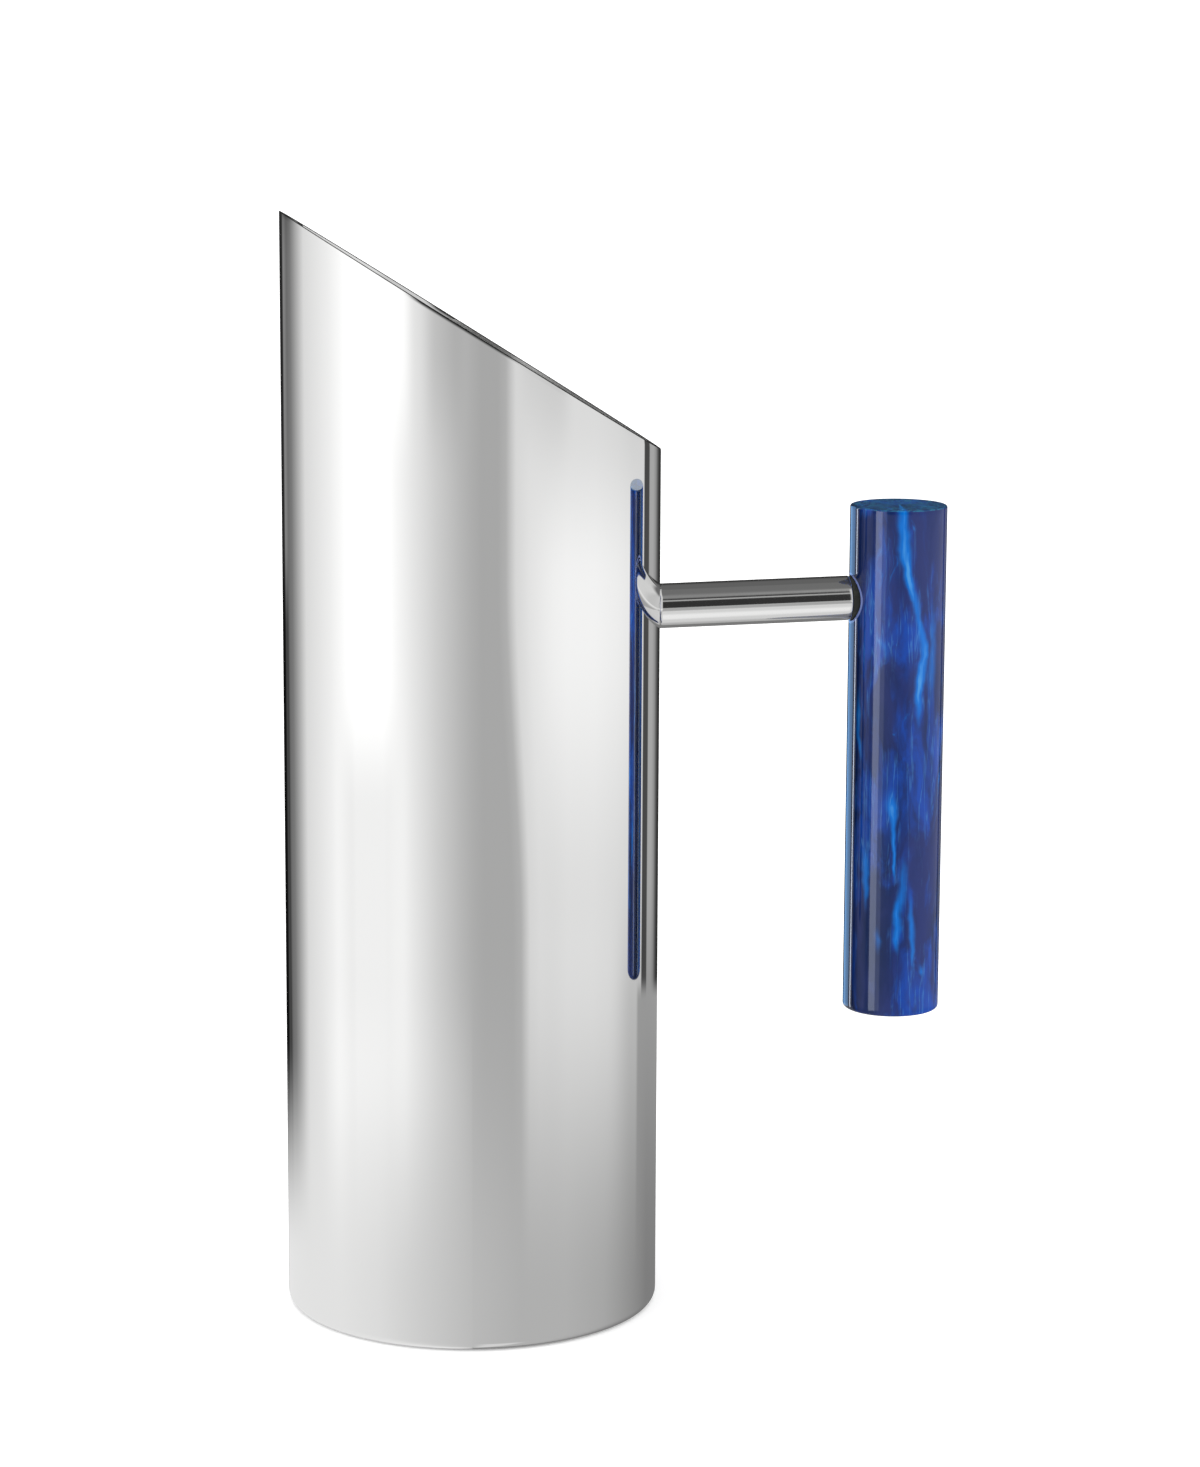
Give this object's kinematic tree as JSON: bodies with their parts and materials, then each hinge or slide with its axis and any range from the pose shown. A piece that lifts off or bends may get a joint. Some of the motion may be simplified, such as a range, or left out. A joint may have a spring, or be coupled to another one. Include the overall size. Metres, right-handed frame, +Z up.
{
  "type": "water pitcher",
  "caption": "Tall straight-sided polished steel water pitcher with a slanted pouring mouth and an upright round marbled resin grip held off the body by a short arm.",
  "frame": {"origin": "on the vessel's axis, at the plane the pitcher stands on", "axes": "+Z up along the vessel's axis, +X towards the grip, and the pouring tip of the mouth at -X"},
  "size_m": [0.1787, 0.1, 0.2946],
  "materials": {
    "polished_steel": "mirror-polished stainless steel",
    "base_steel": "satin stainless steel",
    "arm_steel": "polished stainless steel",
    "machined_steel": "machined stainless steel",
    "washer_rubber": "black rubber",
    "insert_brass": "machined brass",
    "marbled_resin": "gloss cast resin marbled in navy, royal blue and azure"
  },
  "bodies": {
    "root": {"body_shell": "polished_steel", "base_plate": "base_steel", "handle_arm": "arm_steel", "arm_plug": "machined_steel", "handle_stud": "machined_steel", "seat_washer": "washer_rubber", "grip_insert": "insert_brass", "grip": "marbled_resin"}
  },
  "joints": []
}
